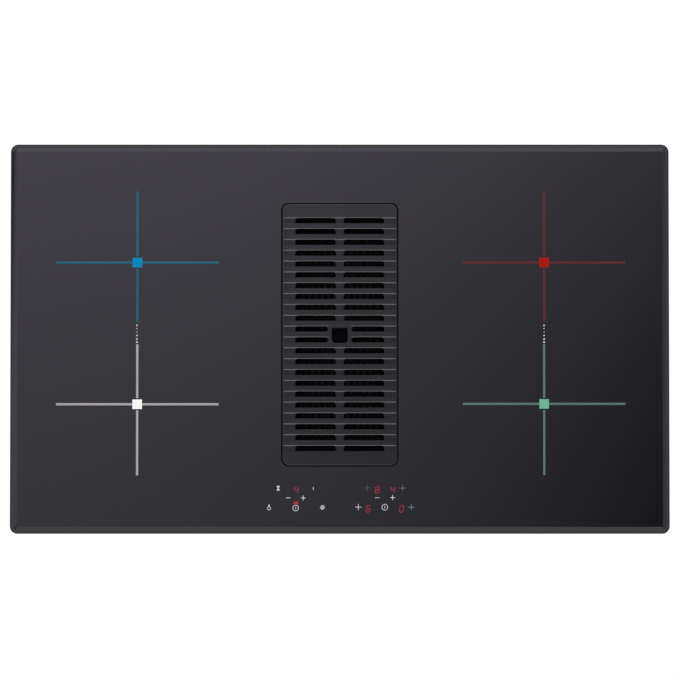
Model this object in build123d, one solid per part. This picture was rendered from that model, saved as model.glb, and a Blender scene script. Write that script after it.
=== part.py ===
from build123d import *
import math
import os

# Downdraft induction cooktop in mm. X is to the right, Y to the rear, Z up.
# The base of the lower casing is at Z = 0 and the glass is centred on the Z axis.

os.makedirs("parts", exist_ok=True)

# Glass
glass_width = 880.0
glass_depth = 520.0
glass_thick = 6.0
glass_corner = 10.0
bevel_width = 9.5
bevel_inner_slope = 8.0
bevel_outer_slope = 23.0
bevel_steps = 5
edge_seam = 0.8
cut_out_chamfer = 1.2

# Heights of the two storeys under the glass
casing_height = 150.0
tray_height = 55.0
glass_bottom = casing_height + tray_height
glass_face = glass_bottom + glass_thick

# Gaps
rest_gap = 0.3
screw_gap = 0.1
running_gap = 0.05

# Grille in the glass
grille_width = 153.2
grille_front_margin = 91.2
grille_rear_margin = 79.3
grille_length = glass_depth - grille_front_margin - grille_rear_margin
grille_y = (grille_front_margin - grille_rear_margin) / 2
grille_thick = 12.0
grille_corner = 9.0
grille_gap = 0.8
grille_edge = 1.0
slot_rows = 22
slot_end = 22.7
slot_pitch = (grille_length - 2 * slot_end) / (slot_rows - 1)
slot_depth = 7.3
slot_length = 54.1
slot_round = 3.2
centre_web = 10.4
groove_fall = 0.8
groove_lip = 0.7
groove_bank = 1.2
groove_slope = 3.2
groove_margin = 2.0
finger_width = 21.4
finger_length = 20.2
finger_offset = -1.4
finger_round = 5.0
finger_web = 5.0
pad_radius = 3.0
pad_thick = 1.7
pad_inset = 24.5
grille_base = glass_face - grille_thick

# Inlet well: grille box, filter box and skirt
well_wall = 2.5
well_gap = 1.0
grille_ledge = 10.0
filter_ledge = 6.0
well_flange = 16.0
well_gasket_thick = 2.0
skirt_drop = 11.0
cut_width = grille_width + 2 * grille_gap
cut_length = grille_length + 2 * grille_gap
cut_corner = grille_corner + grille_gap
well_width = cut_width + 2 * well_gap
well_length = cut_length + 2 * well_gap
grille_seat = grille_base - pad_thick - rest_gap
bay_width = well_width - 2 * grille_ledge
bay_length = well_length - 2 * grille_ledge
throat_width = bay_width - 2 * filter_ledge
throat_length = bay_length - 2 * filter_ledge
well_corner = 8.0
pad_x = bay_width / 2 + grille_ledge / 2 - rest_gap

# Upper tray
tray_overhang = 22.0
tray_sheet = 1.2
tray_corner = 14.0
tray_flange = 7.0
tray_width = glass_width - 2 * tray_overhang
tray_depth = glass_depth - 2 * tray_overhang
tray_floor = casing_height + tray_sheet
filter_seat = tray_floor + well_wall
vent_count = 10
vent_pitch = 10.0
vent_width = 4.4
vent_height = 27.5
seal_width = 8.0
seal_thick = 2.0
seal_margin = 3.0

# Grease filter
filter_gap = 1.0
filter_height = 22.0
filter_sheet = 1.0
filter_border = 9.0
mesh_thick = 1.5
mesh_columns = 13
mesh_rows = 26
mesh_bar = 2.4
handle_width = 14.0
handle_rise = 12.0
handle_top = 44.0
handle_foot = 60.0
handle_thick = 1.5
filter_width = bay_width - 2 * filter_gap
filter_length = bay_length - 2 * filter_gap
filter_base = filter_seat + rest_gap

# Drip tray
drip_gap = 2.0
drip_height = 24.0
drip_wall = 1.8
drip_draft = 3.0
drip_grip_length = 36.0
drip_grip_height = 16.0
drip_grip_thick = 3.0

# Lower casing
casing_wall = 3.0
casing_left = -100.0
casing_front_margin = 48.0
casing_rear_margin = 38.0
casing_side_gap = 31.5
casing_front_gap = 9.5
casing_length = tray_depth - casing_front_margin - casing_rear_margin
casing_y = (casing_front_margin - casing_rear_margin) / 2
casing_corner = 20.0
casing_foot = 8.0
casing_flange = 14.0
casing_gasket_thick = 1.5
rail_height = 5.0
rail_thick = 2.5
casing_rear = casing_y + casing_length / 2
flange_top = casing_height - casing_gasket_thick
screw_radius = 2.0
screw_head = 3.8
screw_head_height = 2.4

# Outlet for a flat duct and the scroll that feeds it
duct_width = 222.0
duct_height = 89.0
duct_wall = 2.5
duct_reach = 45.0
duct_flange = 14.0
duct_flange_rise = 3.0
duct_flange_thick = 3.0
duct_gasket_thick = 2.0
duct_lip = 2.5
scroll_lift = 47.5
scroll_wall = 2.5
scroll_foot = 6.0
scroll_foot_inset = 17.0
scroll_base = casing_wall + scroll_lift
scroll_height = duct_height
mouth_gap = 0.3
casing_window_gap = 1.0

# Blower wheel and motor, axis upright; the scroll stands beside the well and decides the casing's width
spiral_start = 102.0
spiral_step = 14.0
spiral_reach = spiral_start + 2.5 * spiral_step
tongue_angle = 60.0
tongue_round = 21.0
duct_throat = 69.0
blower_gap = 3.0
fan_x = throat_width / 2 + well_wall + blower_gap + scroll_wall + spiral_start + spiral_step / 2
fan_y = (casing_y - casing_length / 2 + casing_wall + casing_front_gap + scroll_wall
         + spiral_start + 1.5 * spiral_step)
casing_right = fan_x + spiral_reach + scroll_wall + casing_side_gap + casing_wall
casing_width = casing_right - casing_left
casing_x = (casing_left + casing_right) / 2
wheel_radius = 85.0
wheel_height = 68.0
wheel_bore = 67.0
wheel_rim = 1.6
wheel_lift = 3.5
blade_count = 36
blade_thick = 1.2
blade_curve = 11.0
motor_radius = 42.0
motor_gap = 4.0
motor_height = 60.0
motor_plate_radius = 62.0
motor_plate_thick = 2.0
motor_port_gap = 6.0
mount_radius = 5.0
mount_thick = 1.5
shaft_radius = 4.0
bearing_radius = 11.0
bearing_height = 7.0
hub_radius = 9.0

# Non-return flaps
flap_count = 2
flap_thick = 1.5
flap_barrel = 2.4
flap_pin = 1.25
flap_side_gap = 1.0
flap_edge_gap = 0.7
flap_setback = 12.0

# Coils
coil_inset = 168.0
coil_x = glass_width / 2 - coil_inset
coil_rear_y = 102.0
coil_front_y = -87.0
coil_radius = 88.0
coil_bore = 28.0
coil_thick = 4.4
former_margin = 4.0
former_thick = 4.0
ferrite_thick = 5.0
ferrite_width = 9.0
ferrite_length = 56.0
ferrite_count = 8
mica_thick = 0.6
sensor_radius = 6.0
plate_thick = 1.5
plate_margin = 8.0
former_window = 39.0
post_radius = 4.0
post_inset = 7.0
coil_top = glass_bottom - mica_thick
former_top = coil_top - coil_thick
ferrite_top = former_top - former_thick
plate_top = ferrite_top - ferrite_thick
plate_bottom = plate_top - plate_thick

# Power boards and cooling fans
board_inset = 31.0
board_width = 170.0
board_length = 210.0
board_x = tray_width / 2 - board_inset - board_width / 2
board_thick = 1.6
spacer_height = 6.0
sink_width = 70.0
sink_length = 120.0
sink_base = 4.0
sink_height = 27.0
fin_count = 10
fin_thick = 1.6
can_radius = 9.0
can_height = 25.0
can_pitch = 24.0
can_round = 1.5
choke_radius = 14.0
choke_bore = 6.0
choke_height = 14.0
choke_pitch = 34.0
relay_size = (16.0, 22.0, 16.0)
relay_pitch = 28.0
parts_inset = 25.0
cooler_gap = 11.0
cooler_size = 80.0
cooler_height = 20.0
cooler_foot = 6.0
cooler_screw_inset = 4.3
cooler_blade = 1.4
cooler_blade_turn = 40.0
cooler_bore = 38.0
cooler_hub = 15.0
cooler_web = 3.0
cooler_pin = 1.5
cooler_blades = 7
cooler_tip_gap = 0.8
cooler_x = board_x - board_width / 2 - cooler_gap - cooler_size / 2

# Touch control
board_gap = 0.2
touch_width = 212.0
touch_length = 43.0
touch_drop = 8.4
holder_thick = 3.0
display_width = 11.0
display_length = 13.0
contact_radius = 3.5
leg_radius = 4.0
holder_rim = 6.0
touch_inset = 46.5
touch_y = touch_inset - glass_depth / 2
display_places = ((-58.6, 12.1), (49.8, 12.1), (70.4, 12.1), (37.1, -13.9), (82.2, -13.9))
contact_places = (
    (-82.8, 13.4), (-69.7, 1.0), (-49.1, 1.0), (-59.6, -12.8), (-95.3, -12.5), (-23.8, -12.0),
    (36.3, 13.9), (83.4, 13.9), (49.8, 1.0), (69.9, 1.0), (59.9, -11.8), (24.1, -11.8), (95.0, -11.8),
)

# Electrical boxes under the tray
terminal_side_inset = 133.0
terminal_x = terminal_side_inset - tray_width / 2
terminal_width = 90.0
terminal_length = 57.0
terminal_height = 32.0
terminal_wall = 2.0
terminal_inset = 6.0
block_width = 60.0
block_length = 22.0
block_height = 18.0
block_setback = 8.0
block_ways = 5
ear_length = 15.0
ear_width = 12.0
gland_bore = 5.0
gland_radius = 8.0
gland_nut = 11.5
gland_nut_length = 14.0
gland_tail = 8.0
control_width = 62.0
control_length = 150.0
control_height = 66.0
control_wall = 2.0
control_y = -15.0
control_gap = 6.0
card_gap = 6.0
card_lift = 12.0
card_post = 2.5
card_can_radius = 12.0
card_can_height = 30.0
card_can_y = 35.0

# Worktop clips
clip_inset = 68.0
clip_x = tray_width / 2 - clip_inset
clip_width = 20.0
clip_sheet = 0.8
clip_bulge = 5.5
clip_height = 30.0
clip_drop = 8.0
clip_round = 1.6
clip_screw_drop = 5.0


def plate(size_x, size_y, height, radius, base, x=0.0, y=0.0):
    outline = Pos(x, y, base) * RectangleRounded(size_x, size_y, radius)
    return extrude(outline, height)


def block(size_x, size_y, height, base, x=0.0, y=0.0):
    return extrude(Pos(x, y, base) * Rectangle(size_x, size_y), height)


def rod(radius, height, base, x=0.0, y=0.0):
    return extrude(Pos(x, y, base) * Circle(radius), height)


def frame_ring(size_x, size_y, border, height, radius, base, x=0.0, y=0.0):
    inner_radius = max(radius - border, 1.0)
    outer = plate(size_x, size_y, height, radius, base, x, y)
    return outer - plate(size_x - 2 * border, size_y - 2 * border, height, inner_radius, base, x, y)


def group(solids):
    return Compound(children=solids)


def rim_places(size_x, size_y, x, y, columns, rows):
    """Points spaced evenly along the four sides of a rectangle, corners left out."""
    places = []
    for column in range(columns):
        along = x - size_x / 2 + size_x * (column + 0.5) / columns
        places += [(along, y - size_y / 2), (along, y + size_y / 2)]
    for row in range(rows):
        along = y - size_y / 2 + size_y * (row + 0.5) / rows
        places += [(x - size_x / 2, along), (x + size_x / 2, along)]
    return places


# ---- glass, seal and grille ----

def glass_outline(inset, height):
    return Pos(0, 0, height) * RectangleRounded(
        glass_width - 2 * inset, glass_depth - 2 * inset, glass_corner - inset)


def bevel_outlines():
    """Outlines up the bevel, which is ground to an arc that flattens towards the face."""
    outer = math.radians(bevel_outer_slope)
    inner = math.radians(bevel_inner_slope)
    radius = (bevel_width - edge_seam) / (math.sin(outer) - math.sin(inner))
    outlines = []
    for step in range(bevel_steps + 1):
        slope = outer + (inner - outer) * step / bevel_steps
        inset = bevel_width - radius * (math.sin(slope) - math.sin(inner))
        outlines.append(glass_outline(inset, glass_face - radius * (math.cos(inner) - math.cos(slope))))
    return outlines


def make_glass_top():
    """Flat plate with a seamed edge, a wide ground bevel with mitred corners, and the grille's cut-out."""
    outlines = bevel_outlines()
    bevel_foot = outlines[0].center().Z
    side_height = bevel_foot - edge_seam - glass_bottom
    glass = extrude(glass_outline(0, glass_bottom), side_height)
    outlines.insert(0, glass_outline(0, glass_bottom + side_height))
    for lower, upper in zip(outlines, outlines[1:]):
        glass += loft([lower, upper], ruled=True)
    glass -= plate(cut_width, cut_length, glass_thick, cut_corner, glass_bottom, 0, grille_y)
    rim = glass.edges().filter_by_position(Axis.Z, glass_face, glass_face)
    reach_y = cut_length / 2 + grille_gap
    inner = [e for e in rim if abs(e.center().X) < cut_width / 2 + grille_gap
             and abs(e.center().Y - grille_y) < reach_y]
    return chamfer(inner, cut_out_chamfer)


def make_glass_seal():
    return frame_ring(
        glass_width - 2 * seal_margin, glass_depth - 2 * seal_margin, seal_width, seal_thick,
        glass_corner, glass_bottom - seal_thick)


def slot_face(low_x, high_x, y, open_end):
    """One slot: the two rear corners are rounded; the end at a finger hole is rounded on both."""
    half = slot_depth / 2
    face = Pos((low_x + high_x) / 2, y) * Rectangle(high_x - low_x, slot_depth)
    rear = face.vertices().filter_by_position(Axis.Y, y + half, y + half)
    face = fillet(rear, slot_round)
    if open_end:
        front = face.vertices().filter_by_position(Axis.Y, y - half, y - half)
        corner = front.sort_by(lambda v: abs(v.X))[0]
        face = fillet(corner, slot_round)
    return face


def slot_rows_y():
    first = grille_y + slot_pitch * (slot_rows - 1) / 2
    return [first - slot_pitch * row for row in range(slot_rows)]


def make_grille():
    body = plate(grille_width, grille_length, grille_thick, grille_corner, grille_base, 0, grille_y)
    body = fillet(body.edges().group_by(Axis.Z)[-1], grille_edge)
    finger_y = grille_y + finger_offset
    slots = []
    grooves = []
    for y in slot_rows_y():
        beside = abs(y - finger_y) < (finger_length + slot_depth) / 2
        inner = finger_width / 2 + finger_web if beside else centre_web / 2
        outer = centre_web / 2 + slot_length
        slots += [slot_face(-outer, -inner, y, beside), slot_face(inner, outer, y, beside)]
        rear = y + slot_depth / 2 + groove_lip
        front = y - slot_depth / 2
        floor = rear - groove_bank - front
        sink = groove_fall + floor * math.tan(math.radians(groove_slope))
        valley = make_face(Polyline(
            (rear, glass_face), (rear - groove_bank, glass_face - groove_fall),
            (front, glass_face - sink), (front, glass_face), close=True))
        grooves.append(extrude(Plane.YZ * valley, grille_width / 2 - groove_margin, both=True))
    finger = Pos(0, finger_y) * Rectangle(finger_width, finger_length)
    finger = fillet(finger.vertices().group_by(Axis.Y)[0], finger_round)
    openings = Sketch() + slots + [finger]
    collar = block(finger_width + 2 * finger_web, finger_length + finger_web, grille_thick,
                   grille_base, 0, finger_y)
    body -= Part() + grooves - collar
    return body - extrude(Pos(0, 0, grille_base) * openings, grille_thick)


def make_grille_pads():
    pads = []
    for side in (-1, 1):
        for row in (-1, 0, 1):
            y = grille_y + row * (grille_length / 2 - pad_inset)
            pads.append(rod(pad_radius, pad_thick, grille_base - pad_thick, side * pad_x, y))
    return group(pads)


# ---- inlet well, filter and drip tray ----

def make_well_gasket():
    size_x = well_width + 2 * (well_wall + well_flange)
    size_y = well_length + 2 * (well_wall + well_flange)
    return frame_ring(size_x, size_y, well_flange, well_gasket_thick, cut_corner + well_flange,
                      glass_bottom - well_gasket_thick, 0, grille_y)


def make_inlet_well():
    top = glass_bottom - well_gasket_thick
    grow = 2 * well_wall
    flange_x = well_width + grow + 2 * well_flange
    flange_y = well_length + grow + 2 * well_flange
    well = plate(flange_x, flange_y, well_wall, cut_corner + well_flange, top - well_wall, 0, grille_y)
    well += plate(well_width + grow, well_length + grow, top - grille_seat + well_wall,
                  cut_corner + well_wall, grille_seat - well_wall, 0, grille_y)
    well += plate(bay_width + grow, bay_length + grow, grille_seat - tray_floor,
                  well_corner + well_wall, tray_floor, 0, grille_y)
    well += plate(throat_width + grow, throat_length + grow, skirt_drop + tray_sheet + well_wall,
                  well_corner, casing_height - skirt_drop, 0, grille_y)
    well -= plate(well_width, well_length, glass_thick + top - grille_seat, cut_corner, grille_seat,
                  0, grille_y)
    well -= plate(bay_width, bay_length, grille_seat - filter_seat, well_corner, filter_seat,
                  0, grille_y)
    well -= plate(throat_width, throat_length, filter_seat - casing_wall, well_corner, casing_wall,
                  0, grille_y)
    return well


def make_filter_frame():
    ring = frame_ring(filter_width, filter_length, filter_border, filter_height, well_corner,
                      filter_base, 0, grille_y)
    channel = plate(filter_width - 2 * filter_sheet, filter_length - 2 * filter_sheet,
                    filter_height - 2 * filter_sheet, well_corner - filter_sheet,
                    filter_base + filter_sheet, 0, grille_y)
    return ring - channel


def make_filter_mesh():
    """Expanded metal: staggered diamonds in one sheet held in the frame's channel."""
    size_x = filter_width - 2 * filter_sheet
    size_y = filter_length - 2 * filter_sheet
    top = filter_base + filter_height - filter_sheet
    sheet = plate(size_x, size_y, mesh_thick, well_corner - filter_sheet, top - mesh_thick, 0, grille_y)
    half_step = (filter_width - 2 * filter_border) / (2 * mesh_columns + 1)
    row_step = (filter_length - 2 * filter_border) / (mesh_rows + 1)
    half_x = half_step - mesh_bar / 2
    half_y = row_step - mesh_bar
    diamond = make_face(Polyline((half_x, 0), (0, half_y), (-half_x, 0), (0, -half_y), close=True))
    places = []
    for row in range(mesh_rows):
        y = grille_y + (row - (mesh_rows - 1) / 2) * row_step
        for column in range(mesh_columns):
            x = (2 * column + row % 2 + 0.5 - mesh_columns) * half_step
            places.append((x, y))
    holes = Sketch() + [Pos(x, y, top - mesh_thick) * diamond for x, y in places]
    return sheet - extrude(holes, mesh_thick)


def make_filter_handle():
    base = filter_base + filter_height
    end = filter_width / 2 - filter_sheet
    path = ((-end, 0), (-handle_foot / 2, 0), (-handle_top / 2, handle_rise),
            (handle_top / 2, handle_rise), (handle_foot / 2, 0), (end, 0))
    upper = [(x, base + z + handle_thick) for x, z in path]
    lower = [(x, base + z) for x, z in reversed(path)]
    strap = make_face(Polyline(*upper, *lower, close=True))
    return Pos(0, grille_y, 0) * extrude(Plane.XZ * strap, handle_width / 2, both=True)


def make_drip_tray():
    size_x = throat_width - 2 * drip_gap
    size_y = throat_length - 2 * drip_gap
    base = casing_wall + rest_gap

    def tub(shrink, low, high):
        lower = RectangleRounded(size_x - 2 * (shrink + drip_draft), size_y - 2 * (shrink + drip_draft),
                                 well_corner)
        upper = RectangleRounded(size_x - 2 * shrink, size_y - 2 * shrink, well_corner)
        return loft([Pos(0, grille_y, low) * lower, Pos(0, grille_y, high) * upper], ruled=True)

    tray = tub(0, base, base + drip_height) - tub(drip_wall, base + drip_wall, base + drip_height)
    grip = block(drip_grip_thick, drip_grip_length, drip_grip_height, base + drip_wall / 2, 0, grille_y)
    return tray + grip


# ---- upper tray and its seal to the casing ----

def cooler_slots(x):
    """Air inlet under the cooling fan that stands outside the casing: slots along chords of its bore."""
    pitch = cooler_bore / 4
    slots = []
    for step in range(-3, 4):
        chord = 2 * math.sqrt(cooler_bore ** 2 - (pitch * step) ** 2) - pitch
        slots.append(Pos(x + pitch * step, 0) * SlotOverall(chord, pitch / 2, rotation=90))
    return slots


def casing_screw_places():
    size_x = casing_width + casing_flange
    size_y = casing_length + casing_flange
    return rim_places(size_x, size_y, casing_x, casing_y, 3, 2)


def board_spacer_places():
    places = []
    for side in (-1, 1):
        for x in (-1, 1):
            for y in (-1, 1):
                places.append((side * board_x + x * (board_width / 2 - post_inset),
                               y * (board_length / 2 - post_inset)))
    return places


def make_upper_tray():
    inner_x = tray_width - 2 * tray_sheet
    inner_y = tray_depth - 2 * tray_sheet
    tray = plate(tray_width, tray_depth, tray_height, tray_corner, casing_height)
    tray += plate(tray_width + 2 * tray_flange, tray_depth + 2 * tray_flange, tray_sheet,
                  tray_corner + tray_flange, glass_bottom - tray_sheet)
    tray -= plate(inner_x, inner_y, tray_height, tray_corner - tray_sheet, tray_floor)
    grow = 2 * (well_wall + well_gap)
    holes = Pos(0, grille_y) * RectangleRounded(throat_width + grow, throat_length + grow, well_corner)
    holes = Sketch() + [holes] + cooler_slots(-cooler_x)
    holes += [Pos(x, y) * Circle(screw_radius + screw_gap) for x, y in casing_screw_places()]
    holes += [Pos(x, y) * Circle(screw_radius + screw_gap)
              for x, y in terminal_screw_places() + control_screw_places()]
    holes += [Pos(terminal_x, terminal_y()) * Circle(gland_radius)]
    tray -= extrude(Pos(0, 0, casing_height) * holes, tray_sheet)
    vent = Rectangle(vent_width, vent_height)
    vents = []
    for side in (-1, 1):
        for step in range(vent_count):
            x = side * (coil_x + vent_pitch * (step - (vent_count - 1) / 2))
            vents.append(Plane.XZ * Pos(x, casing_height + tray_height / 2) * vent)
    return tray - extrude(Sketch() + vents, tray_depth, both=True)


def make_casing_gasket():
    ring = frame_ring(casing_width + 2 * casing_flange, casing_length + 2 * casing_flange,
                      casing_flange, casing_gasket_thick, casing_corner + casing_flange,
                      flange_top, casing_x, casing_y)
    holes = [Pos(x, y, flange_top) * Circle(screw_radius + screw_gap) for x, y in casing_screw_places()]
    return ring - extrude(Sketch() + holes, casing_gasket_thick)


def make_casing_screws():
    under = flange_top - casing_wall
    screws = []
    for x, y in casing_screw_places():
        shank = rod(screw_radius, tray_floor + tray_sheet - under, under, x, y)
        screws.append(shank + rod(screw_head, screw_head_height, under - screw_head_height, x, y))
    return screws


# ---- lower casing, duct spigot and flaps ----

def duct_x():
    return fan_x + spiral_reach - duct_width / 2 + duct_wall


def duct_z():
    return scroll_base + scroll_height / 2


def duct_place(y):
    """Plane across the duct at y, looking along the air; its local x runs to -X."""
    return Plane(origin=(duct_x(), y, duct_z()), x_dir=(1, 0, 0), z_dir=(0, -1, 0))


def duct_block(width, height, radius, low_y, high_y):
    outline = duct_place(high_y) * RectangleRounded(width, height, radius)
    return extrude(outline, high_y - low_y)


def duct_screw_places():
    reach = (duct_width + duct_flange) / 2
    return [(x * reach, z * duct_height / 3) for x in (-1, 1) for z in (-1, 1)]


def make_lower_casing():
    height = flange_top
    body = plate(casing_width, casing_length, height, casing_corner, 0, casing_x, casing_y)
    body = fillet(body.edges().group_by(Axis.Z)[0], casing_foot)
    body += plate(casing_width + 2 * casing_flange, casing_length + 2 * casing_flange, casing_wall,
                  casing_corner + casing_flange, height - casing_wall, casing_x, casing_y)
    cavity = plate(casing_width - 2 * casing_wall, casing_length - 2 * casing_wall,
                   height - casing_wall, casing_corner - casing_wall, casing_wall, casing_x, casing_y)
    cavity = fillet(cavity.edges().group_by(Axis.Z)[0], casing_foot - casing_wall)
    body -= cavity
    rail_x = throat_width / 2 - drip_gap - drip_draft + rest_gap + rail_thick / 2
    rail_y = throat_length / 3
    for side in (-1, 1):
        rail = block(rail_thick, rail_y, rail_height, casing_wall, side * (rail_x + rest_gap), grille_y)
        body += rail
    window = 2 * casing_window_gap
    body -= duct_block(duct_width + window, duct_height + window, duct_wall,
                       casing_rear - 2 * casing_wall, casing_rear + casing_wall)
    for x, z in duct_screw_places():
        hole = duct_place(casing_rear) * Pos(x, z) * Circle(screw_radius + screw_gap)
        body -= extrude(hole, casing_wall)
    holes = [Pos(x, y, height - casing_wall) * Circle(screw_radius + screw_gap)
             for x, y in casing_screw_places()]
    return body - extrude(Sketch() + holes, casing_wall)


def make_duct_gasket():
    low = casing_rear
    high = low + duct_gasket_thick
    ring = duct_block(duct_width + 2 * duct_flange, duct_height + 2 * duct_flange_rise,
                      duct_flange_rise, low, high)
    ring -= duct_block(duct_width + 2 * casing_window_gap, duct_height + 2 * casing_window_gap,
                       duct_wall, low, high)
    for x, z in duct_screw_places():
        hole = duct_place(high) * Pos(x, z) * Circle(screw_radius + screw_gap)
        ring -= extrude(hole, duct_gasket_thick)
    return ring


def flap_hinge_y():
    return casing_rear + duct_gasket_thick + flap_setback


def flap_pitch():
    return (duct_height - 2 * duct_wall - flap_barrel - flap_edge_gap) / flap_count


def flap_hinge_z(leaf):
    top = duct_z() + duct_height / 2 - duct_wall
    return top - flap_barrel - flap_edge_gap - leaf * flap_pitch()


def mouth_y():
    return casing_rear - 2 * casing_wall


def make_duct_spigot():
    low = mouth_y() + mouth_gap
    flange = casing_rear + duct_gasket_thick
    end = flange + duct_flange_thick + duct_reach
    lip = flap_hinge_y() - flap_barrel - rest_gap
    inner_x = duct_width - 2 * duct_wall
    inner_z = duct_height - 2 * duct_wall
    body = duct_block(duct_width, duct_height, duct_wall, low, end)
    body += duct_block(duct_width + 2 * duct_flange, duct_height + 2 * duct_flange_rise,
                       duct_flange_rise, flange, flange + duct_flange_thick)
    body -= duct_block(inner_x, inner_z, duct_wall / 2, lip, end)
    body -= duct_block(inner_x - 2 * duct_lip, inner_z - 2 * duct_lip, duct_wall / 2, low, lip)
    body -= duct_block(inner_x, inner_z, duct_wall / 2, low, lip - duct_lip)
    for x, z in duct_screw_places():
        hole = duct_place(flange + duct_flange_thick) * Pos(x, z) * Circle(screw_radius + screw_gap)
        body -= extrude(hole, duct_flange_thick)
    for leaf in range(flap_count):
        body -= pin_bar(leaf, flap_pin, duct_width / 2)
    return body


def pin_bar(leaf, radius, half):
    centre = Plane(origin=(duct_x(), flap_hinge_y(), flap_hinge_z(leaf)), z_dir=(1, 0, 0))
    return extrude(centre * Circle(radius), half, both=True)


def make_flap(leaf):
    half = duct_width / 2 - duct_wall - flap_side_gap
    z = flap_hinge_z(leaf)
    fall = flap_pitch() - flap_barrel - flap_edge_gap
    barrel = pin_bar(leaf, flap_barrel, half)
    blade = block(2 * half, flap_thick, fall, z - fall, duct_x(), flap_hinge_y())
    return barrel + blade - pin_bar(leaf, flap_pin + running_gap, half)


def make_flap_pins():
    return group([pin_bar(leaf, flap_pin, duct_width / 2) for leaf in range(flap_count)])


def make_duct_screws():
    face = casing_rear + duct_gasket_thick + duct_flange_thick
    inside = casing_rear - casing_wall
    screws = []
    for x, z in duct_screw_places():
        head = extrude(duct_place(face + screw_head_height) * Pos(x, z) * Circle(screw_head),
                       screw_head_height)
        shank = extrude(duct_place(face) * Pos(x, z) * Circle(screw_radius), face - inside + 2)
        screws.append(head + shank)
    return screws


# ---- blower ----

def scroll_face():
    """Inner outline of the scroll: three quarter arcs that grow by one step each, then the diffuser."""
    half = spiral_step / 2
    small = CenterArc((-half, -half), spiral_start, tongue_angle, 180 - tongue_angle)
    middle = CenterArc((half, -half), spiral_start + spiral_step, 180, 90)
    large = CenterArc((half, half), spiral_start + 2 * spiral_step, 270, 90)
    mouth = mouth_y() - fan_y
    width = duct_width - 2 * duct_wall
    tongue = small @ 0
    side = Line(large @ 1, (spiral_reach, mouth))
    end = Line((spiral_reach, mouth), (spiral_reach - width, mouth))
    shoulder = FilletPolyline(
        (spiral_reach - width, mouth), (spiral_reach - width, mouth - duct_throat),
        (tongue.X - spiral_step, tongue.Y + 2 * spiral_step), tongue, radius=tongue_round)
    return Pos(fan_x, fan_y) * make_face([small, middle, large, side, end, shoulder])


def make_scroll_housing():
    inner = scroll_face()
    outer = offset(inner, scroll_wall, kind=Kind.ARC)
    low = scroll_base + scroll_wall
    inside = scroll_height - 2 * scroll_wall
    shell = extrude(Pos(0, 0, low) * outer, inside + scroll_wall)
    shell -= extrude(Pos(0, 0, low) * inner, inside)
    mouth = mouth_y()
    beyond = 4 * scroll_wall
    shell -= block(2 * duct_width, beyond, scroll_height, low, duct_x(), mouth + beyond / 2)
    shell -= rod(motor_radius + motor_port_gap, scroll_wall, low + inside, fan_x, fan_y)
    for x, y in mount_places():
        shell -= rod(screw_radius + screw_gap, scroll_wall, low + inside, x, y)
    return shell


def scroll_foot_places():
    """Corners of a square round the bellmouth, where the blower stands on the casing's floor."""
    reach = wheel_radius - scroll_foot_inset
    return [(fan_x + x * reach, fan_y + y * reach) for x in (-1, 1) for y in (-1, 1)]


def make_scroll_cover():
    """Lower half of the scroll: a sheet with the bellmouth and four feet."""
    outline = offset(scroll_face(), scroll_wall, kind=Kind.ARC)
    sheet = extrude(Pos(0, 0, scroll_base) * outline, scroll_wall)
    mouth = mouth_y()
    beyond = 4 * scroll_wall
    sheet -= block(2 * duct_width, beyond, scroll_height, scroll_base, duct_x(), mouth + beyond / 2)
    lip = scroll_wall + wheel_lift - rest_gap - wheel_rim / 2
    curve = lip * 1.6
    bore = wheel_bore - 2 * wheel_rim
    sheet -= rod(bore + curve, scroll_wall, scroll_base, fan_x, fan_y)
    for x, y in scroll_foot_places():
        sheet += rod(scroll_foot, scroll_lift, casing_wall, x, y)
    outer = Line((bore + curve, 0), (bore + curve, scroll_wall))
    face = make_face([
        outer,
        Line((bore + curve, scroll_wall), (bore + curve * 0.6, scroll_wall)),
        ThreePointArc((bore + curve * 0.6, scroll_wall), (bore + wheel_rim + curve * 0.15, lip * 0.75),
                      (bore + wheel_rim, lip)),
        Line((bore + wheel_rim, lip), (bore, lip)),
        ThreePointArc((bore, lip), (bore + curve * 0.25, lip * 0.35), (bore + curve, 0)),
    ])
    bell = revolve(Plane.XZ * face, Axis.Z)
    return sheet + Pos(fan_x, fan_y, scroll_base) * bell


def wheel_base():
    return scroll_base + scroll_wall + wheel_lift


def motor_base():
    return scroll_base + scroll_height + mount_thick - motor_height


def make_impeller():
    """Drum of forward-curved blades; its back plate domes down round the motor to the hub."""
    base = wheel_base()
    top = base + wheel_height
    dome = motor_radius + motor_gap
    floor = motor_base() - motor_gap
    profile = Polyline(
        (shaft_radius, floor - bearing_height), (hub_radius, floor - bearing_height),
        (hub_radius, floor - wheel_rim), (dome - motor_gap, floor - wheel_rim),
        (dome + wheel_rim, floor + motor_gap), (dome + wheel_rim, top - wheel_rim),
        (wheel_radius, top - wheel_rim), (wheel_radius, top), (dome, top),
        (dome, floor + motor_gap), (dome - motor_gap, floor), (shaft_radius, floor), close=True)
    shell = revolve(Plane.XZ * make_face(profile), Axis.Z)
    ring = rod(wheel_radius, wheel_rim, base) - rod(wheel_bore, wheel_rim, base)
    middle = (wheel_radius + wheel_bore) / 2 - 1
    strip = Circle(blade_curve + blade_thick / 2) - Circle(blade_curve - blade_thick / 2)
    strip = Pos(middle, blade_curve / 3) * strip
    strip &= Circle(wheel_radius - wheel_rim / 2) - Circle(wheel_bore + wheel_rim / 2)
    strip &= Pos(middle, -blade_curve / 2) * Rectangle(4 * blade_curve, 5 * blade_curve / 3)
    blade = extrude(Pos(0, 0, base + wheel_rim / 2) * strip, wheel_height - wheel_rim)
    blades = [Rot(0, 0, 360 / blade_count * n) * blade for n in range(blade_count)]
    return Pos(fan_x, fan_y, 0) * (shell + ring + blades)


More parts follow.
